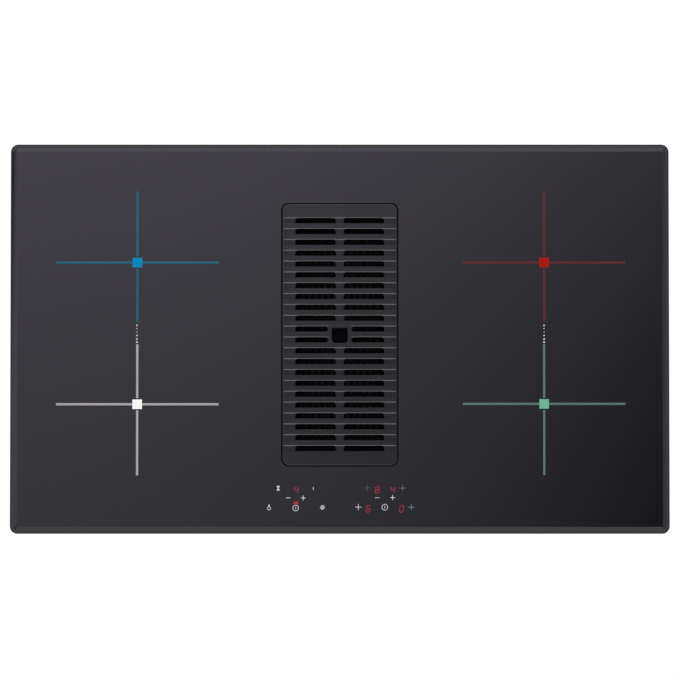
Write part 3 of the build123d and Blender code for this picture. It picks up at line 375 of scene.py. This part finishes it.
def glowMaterial(name, colour, glow, strength):
    light = tuple(c * printLook["glowSpeckle"] for c in colour)
    material = grainedMaterial(name, colour, light, printLook["glowRoughness"], printLook["grain"],
                               printLook["blotch"], printLook["glowDepth"], 0.0, printLook["shine"])
    shader = material.node_tree.nodes["Principled BSDF"]
    shader.inputs["Emission Color"].default_value = (*glow, 1.0)
    shader.inputs["Emission Strength"].default_value = strength
    return material


def srgb(red, green, blue):
    # a colour read from the photograph as 0..255, turned linear
    linear = []
    for value in (red, green, blue):
        c = value / 255
        linear.append(c / 12.92 if c <= 0.04045 else ((c + 0.055) / 1.055) ** 2.4)
    return tuple(linear)


finishes = {
    "glass": buildGlassMaterial(),
    "grille": grainedMaterial("blackEnamelCast", (0.0042, 0.004, 0.0045), (0.0058, 0.0054, 0.006),
                              (0.17, 0.24), 1100.0, 12.0, 0.006, 0.0, 0.45),
    "foam": grainedMaterial("sealingFoam", (0.012, 0.012, 0.012), (0.03, 0.03, 0.03), (0.8, 0.95),
                            700.0, 40.0, 0.25),
    "rubber": grainedMaterial("blackSilicone", (0.010, 0.010, 0.010), (0.018, 0.018, 0.018),
                              (0.5, 0.65), 900.0, 30.0, 0.03),
    "blackPlastic": grainedMaterial("mouldedBlack", (0.016, 0.016, 0.017), (0.024, 0.024, 0.026),
                                    (0.42, 0.55), 1500.0, 7.0, 0.05),
    "greyPlastic": grainedMaterial("mouldedGrey", (0.13, 0.13, 0.135), (0.18, 0.18, 0.187),
                                   (0.42, 0.55), 1500.0, 7.0, 0.04),
    "natural": grainedMaterial("naturalPlastic", (0.50, 0.47, 0.39), (0.60, 0.57, 0.49),
                               (0.4, 0.5), 1200.0, 12.0, 0.03),
    "galvanised": buildGalvanisedMaterial(),
    "stainless": brushedMaterial("brushedStainless", (0.46, 0.46, 0.47), (0.64, 0.64, 0.65),
                                 (0.22, 0.36), (900.0, 8.0, 900.0)),
    # black lacquered filter, its colour set far darker than the lacquer's own: painted shade, so
    # that the grille slots over it read nearly black
    "filter": grainedMaterial("blackLacqueredSteelWithPaintedSlotShade", (0.0014, 0.0014, 0.0015),
                              (0.003, 0.003, 0.0031), (0.6, 0.75), 1300.0, 20.0, 0.015, 0.0, 0.08),
    "aluminium": brushedMaterial("millAluminium", (0.60, 0.61, 0.62), (0.75, 0.76, 0.77),
                                 (0.3, 0.45), (12.0, 600.0, 600.0)),
    "zinc": grainedMaterial("zincPlate", (0.44, 0.44, 0.40), (0.62, 0.62, 0.57), (0.25, 0.4),
                            800.0, 150.0, 0.01, 1.0),
    "shaft": brushedMaterial("groundSteel", (0.48, 0.48, 0.49), (0.62, 0.62, 0.63), (0.15, 0.25),
                             (900.0, 900.0, 30.0)),
    "copper": buildWindingMaterial(),
    "ferrite": grainedMaterial("sinteredFerrite", (0.020, 0.020, 0.022), (0.045, 0.045, 0.048),
                               (0.5, 0.65), 1600.0, 60.0, 0.04),
    "mica": grainedMaterial("micaSheet", (0.42, 0.36, 0.24), (0.60, 0.54, 0.40), (0.3, 0.5),
                            300.0, 40.0, 0.05),
    "board": grainedMaterial("solderMask", (0.010, 0.070, 0.030), (0.020, 0.120, 0.050),
                             (0.25, 0.35), 500.0, 120.0, 0.03),
    "component": grainedMaterial("capacitorSleeve", (0.02, 0.025, 0.06), (0.05, 0.055, 0.09),
                                 (0.3, 0.4), 900.0, 40.0, 0.02),
    "display": grainedMaterial("displayWindow", (0.02, 0.004, 0.004), (0.035, 0.006, 0.006),
                               (0.1, 0.2), 900.0, 60.0, 0.005),
}

nodeFinish = {
    "glass_top": "glass",
    "glass_seal": "foam",
    "grille": "grille",
    "grille_pads": "rubber",
    "well_gasket": "rubber",
    "inlet_well": "blackPlastic",
    "filter_frame": "filter",
    "filter_mesh": "filter",
    "filter_handle": "filter",
    "drip_tray": "blackPlastic",
    "upper_tray": "galvanised",
    "casing_gasket": "foam",
    "lower_casing": "blackPlastic",
    "duct_gasket": "foam",
    "duct_spigot": "blackPlastic",
    "flap_upper": "greyPlastic",
    "flap_lower": "greyPlastic",
    "flap_pins": "shaft",
    "scroll_housing": "greyPlastic",
    "scroll_cover": "greyPlastic",
    "impeller": "blackPlastic",
    "fan_motor": "galvanised",
    "motor_bearings": "shaft",
    "motor_shaft": "shaft",
    "motor_mounts": "rubber",
    "screws": "zinc",
    "coil_formers": "natural",
    "ferrite_bars": "ferrite",
    "coil_sensors": "natural",
    "mica_sheets": "mica",
    "coil_posts": "zinc",
    "board_spacers": "natural",
    "touch_board": "board",
    "touch_holder": "natural",
    "display_modules": "display",
    "touch_contacts": "foam",
    "terminal_cover": "blackPlastic",
    "terminal_block": "natural",
    "cable_gland": "greyPlastic",
    "control_box": "blackPlastic",
    "control_cover": "blackPlastic",
    "control_board": "board",
    "worktop_clips": "stainless",
    "clip_screws": "zinc",
}
pairedFinish = {
    "coil_plate": "aluminium",
    "power_board": "board",
    "heat_sink": "aluminium",
    "board_parts": "component",
    "cooler_frame": "blackPlastic",
    "cooler_rotor": "blackPlastic",
}
for side in ("left", "right"):
    for stem, finish in pairedFinish.items():
        nodeFinish[stem + "_" + side] = finish
    for place in ("rear", "front"):
        nodeFinish["winding_" + place + "_" + side] = "copper"
for nodeName, node in nodes.items():
    dress(node, finishes[nodeFinish[nodeName]])
print("finishes on", len(nodes), "nodes")

ink = {"thick": 0.12, "proud": 0.04}  # mm below and above the glass face
inkTop = glassFace + ink["proud"] * mm


def thicken(piece):
    # a flat shape on the ink plane gets its thickness and outward faces
    editMode(piece)
    bpy.ops.mesh.select_all(action="SELECT")
    bpy.ops.mesh.extrude_region_move(TRANSFORM_OT_translate={"value": (0, 0, -ink["thick"] * mm)})
    bpy.ops.mesh.select_all(action="SELECT")
    bpy.ops.mesh.remove_doubles(threshold=1e-6)
    bpy.ops.mesh.normals_make_consistent(inside=False)
    objectMode()


def flatRectangle(x, y, sizeX, sizeY):
    # sizes and places in mm, on the ink plane
    bpy.ops.mesh.primitive_plane_add(size=1, location=(x * mm, y * mm, inkTop))
    piece = bpy.context.active_object
    piece.scale = (sizeX * mm, sizeY * mm, 1)
    applyPlace(piece)
    return piece


def roundCorners(piece, radius):
    editMode(piece)
    bpy.ops.mesh.select_all(action="SELECT")
    bpy.ops.mesh.bevel(offset=radius * mm, segments=3, affect="VERTICES")
    objectMode()


def pushEdge(piece, x, y, shift, narrow):
    # extrudes the edge whose middle is at x, y by shift in mm, and narrows its new end
    def near(middle):
        return abs(middle.x / mm - x) < 0.05 and abs(middle.y / mm - y) < 0.05

    pick(piece, near, "edges")
    bpy.ops.mesh.extrude_region_move(
        TRANSFORM_OT_translate={"value": (shift[0] * mm, shift[1] * mm, 0)})
    across = (1, narrow, 1) if shift[0] else (narrow, 1, 1)
    bpy.ops.transform.resize(value=across)
    objectMode()


def flatPlus(x, y, arm, width, tip):
    # a plus sign grown out of its own middle square
    piece = flatRectangle(x, y, width, width)
    half = width / 2
    for dx, dy in ((1, 0), (-1, 0), (0, 1), (0, -1)):
        shift = (dx * (arm - half), dy * (arm - half))
        pushEdge(piece, x + dx * half, y + dy * half, shift, tip)
    return piece


def flatDisc(x, y, radius, corners):
    bpy.ops.mesh.primitive_circle_add(
        vertices=corners, radius=radius * mm, fill_type="NGON", location=(x * mm, y * mm, inkTop))
    return bpy.context.active_object


def flatRing(x, y, radius, line, corners=40):
    piece = flatDisc(x, y, radius, corners)
    applyPlace(piece)
    editMode(piece)
    bpy.ops.mesh.select_all(action="SELECT")
    bpy.ops.mesh.inset(thickness=line * mm)
    bpy.ops.mesh.delete(type="FACE")
    objectMode()
    return piece


def finishPrint(pieces, name, material):
    for piece in pieces:
        applyPlace(piece)
        thicken(piece)
    whole = joinPieces(pieces, name)
    dress(whole, material)
    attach(whole, "hob")


zones = {
    "side": 108.4,
    "outward": 94.8,
    "rearInward": 79.2,
    "frontInward": 80.0,
    "square": 12.8,
    "squareCorner": 0.3,
    "line": 2.95,
    "lineCorner": 0.25,
    "gap": 1.8,
}
# middle of each zone in mm, which way is away from the middle of the hob, and its two inks
zoneInks = {
    "rearLeft": (-270.2, 101.9, 1, srgb(0, 137, 192), srgb(36, 101, 124)),
    "frontLeft": (-270.2, -87.3, -1, srgb(250, 250, 250), srgb(169, 167, 172)),
    "rearRight": (272.9, 101.9, 1, srgb(170, 24, 18), srgb(100, 44, 49)),
    "frontRight": (272.6, -86.8, -1, srgb(110, 185, 155), srgb(94, 117, 112)),
}


def buildZone(name, x, y, outward, squareColour, lineColour):
    half = zones["square"] / 2
    square = flatRectangle(x, y, zones["square"], zones["square"])
    roundCorners(square, zones["squareCorner"])
    finishPrint([square], name + "Square", inkMaterial(name + "SquareInk", squareColour))
    bars = []
    inward = zones["rearInward"] if outward == 1 else zones["frontInward"]
    for turn in (-1, 1):
        reach = zones["side"] - half
        bars.append(flatRectangle(x + turn * (half + reach / 2), y, reach, zones["line"]))
        end = zones["outward"] if turn == outward else inward
        reach = end - half - zones["gap"]
        bars.append(flatRectangle(x, y + turn * (end - reach / 2), zones["line"], reach))
    for bar in bars:
        roundCorners(bar, zones["lineCorner"])
    finishPrint(bars, name + "Cross", inkMaterial(name + "LineInk", lineColour))


for zoneName, zone in zoneInks.items():
    buildZone(zoneName, *zone)
print("cooking zones printed")

dots = {
    "x": {"left": -270.7, "right": 272.6},
    "rows": (17.9, 13.7, 9.1, 4.4, -0.3, -4.4),
    "radius": (1.15, 0.85, 0.65, 1.1, 1.25, 1.25),
    "corners": 20,
}
dotInk = inkMaterial("dotInk", srgb(200, 199, 205))
for label, x in dots["x"].items():
    spots = [flatDisc(x, y, r, dots["corners"]) for y, r in zip(dots["rows"], dots["radius"])]
    finishPrint(spots, label + "Dots", dotInk)

keyInk = inkMaterial("keyInk", srgb(204, 203, 207))
keys = {
    "minus": ((-68.8, -212.0), (50.0, -211.8)),
    "plus": ((-48.7, -212.0), (70.4, -211.6)),
    "power": ((-58.8, -225.5), (60.0, -224.5)),
    "minusLine": (0.85, 0.66),
    "minusCorner": 0.3,
    "minusLength": 6.2,
    "plusArm": 3.3,
    "plusLine": 1.05,
    "plusTip": 0.7,
    "ringRadius": 4.2,
    "ringLine": 0.85,
    "powerMark": (0.9, 2.6),
}


def printSigns():
    for index, ((x, y), line) in enumerate(zip(keys["minus"], keys["minusLine"])):
        bar = flatRectangle(x, y, keys["minusLength"], line)
        roundCorners(bar, keys["minusCorner"])
        finishPrint([bar], "minus%d" % index, keyInk)
    for index, (x, y) in enumerate(keys["plus"]):
        plus = flatPlus(x, y, keys["plusArm"], keys["plusLine"], keys["plusTip"])
        finishPrint([plus], "plus%d" % index, keyInk)
    for index, (x, y) in enumerate(keys["power"]):
        ring = flatRing(x, y, keys["ringRadius"], keys["ringLine"])
        mark = flatRectangle(x, y, *keys["powerMark"])
        finishPrint([ring, mark], "power%d" % index, keyInk)


timerMark = {"place": (-82.1, -199.2), "size": (4.9, 6.2), "waist": 0.22, "shoulder": 0.68}
tickMark = {"place": (-35.3, -199.4), "radius": 0.85, "corners": 8, "stretch": (0.62, 3.0, 1)}
lockMark = {
    "ring": (-94.3, -226.0),
    "radius": 2.5,
    "line": 0.85,
    "stem": (-94.3, -222.1),
    "stemSize": (2.0, 3.0),
    "stemTop": 0.45,
}
hatchMark = {
    "place": (-23.1, -224.7),
    "lengths": (4.6, 6.2, 6.2, 4.6),
    "cut": 0.4,  # off each length, so that the bars stay apart
    "line": 1.0,
    "step": 1.5,
    "slope": 0.7071,  # share of a step along X and along Y
}


def printTimer():
    # an hour glass: a plate pinched at its waist
    middle = timerMark["place"][1]
    glass = flatRectangle(*timerMark["place"], *timerMark["size"])
    editMode(glass)
    bpy.ops.mesh.select_all(action="SELECT")
    bpy.ops.mesh.subdivide(number_cuts=3)
    objectMode()
    pick(glass, lambda co: abs(co.y / mm - middle) < 0.2)
    bpy.ops.transform.resize(value=(timerMark["waist"], 1, 1))
    pick(glass, lambda co: 1.2 < abs(co.y / mm - middle) < 2.2)
    bpy.ops.transform.resize(value=(timerMark["shoulder"], 1, 1))
    objectMode()
    finishPrint([glass], "timerMark", keyInk)
    tick = flatDisc(*tickMark["place"], tickMark["radius"], tickMark["corners"])
    tick.scale = tickMark["stretch"]
    finishPrint([tick], "tickMark", keyInk)


def printLock():
    # a ring with a stem that narrows upwards
    ring = flatRing(*lockMark["ring"], lockMark["radius"], lockMark["line"])
    stem = flatRectangle(*lockMark["stem"], *lockMark["stemSize"])
    pick(stem, lambda co: co.y / mm > lockMark["stem"][1])
    bpy.ops.transform.resize(value=(lockMark["stemTop"], 1, 1))
    objectMode()
    finishPrint([ring, stem], "lockMark", keyInk)


def printHatch():
    # a diamond made of four slanting bars
    bars = []
    x, y = hatchMark["place"]
    middle = (len(hatchMark["lengths"]) - 1) / 2
    for index, length in enumerate(hatchMark["lengths"]):
        bar = flatRectangle(0, 0, length - hatchMark["cut"], hatchMark["line"])
        bar.rotation_euler = (0, 0, math.radians(-45))
        shift = (index - middle) * hatchMark["step"] * hatchMark["slope"]
        bar.location = ((x + shift) * mm, (y + shift) * mm, 0)
        bars.append(bar)
    finishPrint(bars, "hatchMark", keyInk)


printSigns()
printTimer()
printLock()
printHatch()

smallCrosses = {
    "rearLeftKey": (36.7, -198.5, srgb(62, 92, 108)),
    "rearRightKey": (83.6, -198.9, srgb(134, 102, 98)),
    "frontLeftKey": (24.7, -224.3, srgb(208, 208, 209)),
    "frontRightKey": (95.4, -224.3, srgb(118, 142, 142)),
}
crossShape = {"arm": 4.3, "width": 1.0, "tip": 0.5}
for keyName, (x, y, colour) in smallCrosses.items():
    cross = flatPlus(x, y, **crossShape)
    finishPrint([cross], keyName, inkMaterial(keyName + "Ink", colour))

digit = {"width": 6.6, "height": 10.4, "line": 1.75, "slant": 0.17, "gap": 0.2, "point": 0.15}
segmentsOf = {"0": "abcdef", "4": "bcfg", "6": "acdefg", "8": "abcdefg"}
digitPlaces = {
    "timerDigit": ("4", -57.9, -201.5),
    "rearLeftDigit": ("8", 50.0, -201.2),
    "rearRightDigit": ("4", 70.7, -201.4),
    "frontLeftDigit": ("6", 38.1, -226.5),
    "frontRightDigit": ("0", 82.3, -226.5),
}
segmentGlow = glowMaterial("segmentGlow", srgb(110, 30, 45), srgb(205, 92, 124), 0.135)
lampGlow = glowMaterial("lampGlow", srgb(130, 30, 45), srgb(214, 84, 110), 0.19)


def segmentBar(length):
    # one lit bar with pointed ends, lying along X
    line = digit["line"]
    bar = flatRectangle(0, 0, length - line - 2 * digit["gap"], line)
    end = (length - line) / 2 - digit["gap"]
    pushEdge(bar, end, 0, (line / 2, 0), digit["point"])
    pushEdge(bar, -end, 0, (-line / 2, 0), digit["point"])
    return bar


def buildDigit(name, figure, x, y):
    width = digit["width"] - digit["line"]
    height = digit["height"] - digit["line"]
    spots = {
        "a": (0, height / 2, 0), "g": (0, 0, 0), "d": (0, -height / 2, 0),
        "f": (-width / 2, height / 4, 1), "b": (width / 2, height / 4, 1),
        "e": (-width / 2, -height / 4, 1), "c": (width / 2, -height / 4, 1),
    }
    bars = []
    for letter in segmentsOf[figure]:
        bx, by, upright = spots[letter]
        bar = segmentBar(height / 2 if upright else width)
        bar.rotation_euler = (0, 0, math.radians(90 * upright))
        bar.location = (bx * mm, by * mm, 0)
        bars.append(bar)
    whole = joinPieces(bars, name)
    for v in whole.data.vertices:
        v.co.x += digit["slant"] * v.co.y
    whole.location = (x * mm, y * mm, 0)
    finishPrint([whole], name, segmentGlow)


for digitName, (figure, x, y) in digitPlaces.items():
    buildDigit(digitName, figure, x, y)
keyLamp = {"place": (-58.4, -218.5), "size": (6.4, 4.0), "corner": 0.8}
lamp = flatRectangle(*keyLamp["place"], *keyLamp["size"])
roundCorners(lamp, keyLamp["corner"])
finishPrint([lamp], "keyLamp", lampGlow)
print("keys and digits printed")

shot = {
    "distance": 3.0,
    "tilt": 1.22,  # degrees that the eye leans towards the cook
    "aim": (0.0003, -0.0016),
    "metresAcross": 0.9074,
    "sensor": 36.0,  # mm
    "farthest": 50.0,
}


def placeCamera():
    data = bpy.data.cameras.new("camera")
    camera = bpy.data.objects.new("camera", data)
    bpy.context.scene.collection.objects.link(camera)
    tilt = math.radians(shot["tilt"])
    aim = Vector((*shot["aim"], glassFace))
    camera.location = aim + shot["distance"] * Vector((0, -math.sin(tilt), math.cos(tilt)))
    camera.rotation_euler = (tilt, 0, 0)
    data.sensor_width = shot["sensor"]
    data.lens = data.sensor_width * shot["distance"] / shot["metresAcross"]
    data.clip_end = shot["farthest"]
    bpy.context.scene.camera = camera


room = {
    "floor": 14.0,
    "floorHeight": -0.0004,  # just clear of the casing's base
    "floorPaint": 0.86,
    "floorStrength": 1.04,
    "floorGlow": 0.94,  # share of the glow where the floor is seen directly
    "skyForEyes": 1.05,
    "skyForLight": 0.55,
}


def seenDirectly(treeNodes, link):
    # 1 where a ray comes from the eye, a mirror or clear glass
    path = treeNodes.new("ShaderNodeLightPath")
    first = treeNodes.new("ShaderNodeMath")
    second = treeNodes.new("ShaderNodeMath")
    first.operation = second.operation = "MAXIMUM"
    link(path.outputs["Is Camera Ray"], first.inputs[0])
    link(path.outputs["Is Glossy Ray"], first.inputs[1])
    link(first.outputs["Value"], second.inputs[0])
    link(path.outputs["Is Transmission Ray"], second.inputs[1])
    return second.outputs["Value"]


def buildFloor():
    bpy.ops.mesh.primitive_plane_add(size=room["floor"], location=(0, 0, room["floorHeight"]))
    floor = bpy.context.active_object
    floor.name = "studioFloor"
    material, treeNodes, link = newMaterial("studioFloorPaint")
    treeNodes.remove(treeNodes["Principled BSDF"])
    output = treeNodes["Material Output"]
    matt = treeNodes.new("ShaderNodeBsdfDiffuse")
    matt.inputs["Color"].default_value = (*(room["floorPaint"],) * 3, 1)
    glow = treeNodes.new("ShaderNodeEmission")
    glow.inputs["Strength"].default_value = room["floorStrength"]
    share = treeNodes.new("ShaderNodeMath")
    share.operation = "MULTIPLY"
    share.inputs[1].default_value = room["floorGlow"]
    mixed = treeNodes.new("ShaderNodeMixShader")
    link(seenDirectly(treeNodes, link), share.inputs[0])
    link(share.outputs["Value"], mixed.inputs["Fac"])
    link(matt.outputs["BSDF"], mixed.inputs[1])
    link(glow.outputs["Emission"], mixed.inputs[2])
    # clear from below, so that the underside can be seen
    sides = treeNodes.new("ShaderNodeNewGeometry")
    clear = treeNodes.new("ShaderNodeBsdfTransparent")
    faced = treeNodes.new("ShaderNodeMixShader")
    link(sides.outputs["Backfacing"], faced.inputs["Fac"])
    link(mixed.outputs["Shader"], faced.inputs[1])
    link(clear.outputs["BSDF"], faced.inputs[2])
    link(faced.outputs["Shader"], output.inputs["Surface"])
    floor.data.materials.append(material)


def buildSky():
    world = bpy.data.worlds.new("studioSky")
    bpy.context.scene.world = world
    world.use_nodes = True
    treeNodes = world.node_tree.nodes
    link = world.node_tree.links.new
    sky = treeNodes["Background"]
    sky.inputs["Color"].default_value = (1, 1, 1, 1)
    span = treeNodes.new("ShaderNodeMapRange")
    span.inputs["To Min"].default_value = room["skyForLight"]
    span.inputs["To Max"].default_value = room["skyForEyes"]
    link(seenDirectly(treeNodes, link), span.inputs["Value"])
    link(span.outputs["Result"], sky.inputs["Strength"])


boards = {
    # boards over the camera: middle, size, then the light as a sum of 1, X, X squared, Y,
    # Y squared and X times Y, in metres from the hob's middle
    "overBoard": ((0, 0), (4.2, 3.2), (0.66, -0.25, -0.08, 0.31, 0.11, 0)),
    "rearBoard": ((0, 5.2), (6.0, 7.2), (2.19, 0, 0, -0.165, 0, 0)),
    "leftRearBoard": ((-5.5, 0.8), (6.8, 1.6), (1.28, 0.023, 0, 0.763, 0, 0.252)),
    "leftFrontBoard": ((-5.5, -1.7), (6.8, 3.4), (1.28, 0.023, 0, 0.63, 0, 0.077)),
    "rightBoard": ((5.5, -0.9), (6.8, 5.0), (0.19, 0.111, 0, 0, 0, 0)),
}
boardHeight = 6.0
boardStep = 0.01
boardLeast = 0.03
boardTint = (1.0, 0.95, 1.12)


def weighted(treeNodes, link, value, factor, rest):
    # value * factor + rest, where any of the three is a number or a socket
    node = treeNodes.new("ShaderNodeMath")
    node.operation = "MULTIPLY_ADD"
    for index, item in enumerate((value, factor, rest)):
        if isinstance(item, (int, float)):
            node.inputs[index].default_value = item
        else:
            link(item, node.inputs[index])
    return node.outputs["Value"]


def buildBoard(name, middle, size, terms):
    # the glass mirrors these and nothing else sees them; later ones hang a little lower
    height = glassFace + boardHeight - boardStep * list(boards).index(name)
    bpy.ops.mesh.primitive_plane_add(size=1, location=(*middle, height))
    board = bpy.context.active_object
    board.name = name
    board.scale = (*size, 1)
    board.rotation_euler = (math.pi, 0, 0)
    applyPlace(board)
    material, treeNodes, link = newMaterial(name + "Paint")
    treeNodes.remove(treeNodes["Principled BSDF"])
    place = treeNodes.new("ShaderNodeTexCoord")
    parts = treeNodes.new("ShaderNodeSeparateXYZ")
    glow = treeNodes.new("ShaderNodeEmission")
    glow.inputs["Color"].default_value = (*boardTint, 1)
    link(place.outputs["Object"], parts.inputs["Vector"])
    x, y = parts.outputs["X"], parts.outputs["Y"]
    one, x1, x2, y1, y2, xy = terms
    light = weighted(treeNodes, link, x, weighted(treeNodes, link, x, x2, x1), one)
    rise = weighted(treeNodes, link, x, xy, weighted(treeNodes, link, y, y2, y1))
    light = weighted(treeNodes, link, y, rise, light)
    least = treeNodes.new("ShaderNodeMath")
    least.operation = "MAXIMUM"
    least.inputs[1].default_value = boardLeast
    link(light, least.inputs[0])
    link(least.outputs["Value"], glow.inputs["Strength"])
    link(glow.outputs["Emission"], treeNodes["Material Output"].inputs["Surface"])
    board.data.materials.append(material)
    board.visible_camera = False
    board.visible_diffuse = False
    board.visible_shadow = False


lamps = {
    # place, turn, size, power in watts and whether the glass mirrors it
    "overhead": ((0.0, 0.4, 3.4), (0, 0, 0), 3.0, 36.0, False),
    "frontStrip": ((0.0, -3.2, 1.25), (math.radians(72), 0, 0), 2.2, 38.0, True),
    "rearStrip": ((-0.8, 3.0, 2.0), (math.radians(-60), 0, 0), 1.4, 20.0, False),
}


def placeLamp(name, place, turn, size, power, mirrored):
    data = bpy.data.lights.new(name, "AREA")
    data.shape = "SQUARE"
    data.size = size
    data.energy = power
    lampObject = bpy.data.objects.new(name, data)
    bpy.context.scene.collection.objects.link(lampObject)
    lampObject.location = place
    lampObject.rotation_euler = turn
    lampObject.visible_glossy = mirrored


placeCamera()
buildFloor()
buildSky()
for boardName, boardValues in boards.items():
    buildBoard(boardName, *boardValues)
for lampName, lampValues in lamps.items():
    placeLamp(lampName, *lampValues)
bpy.context.scene.view_settings.view_transform = "Standard"
print("camera and lights placed")

deselectAll()
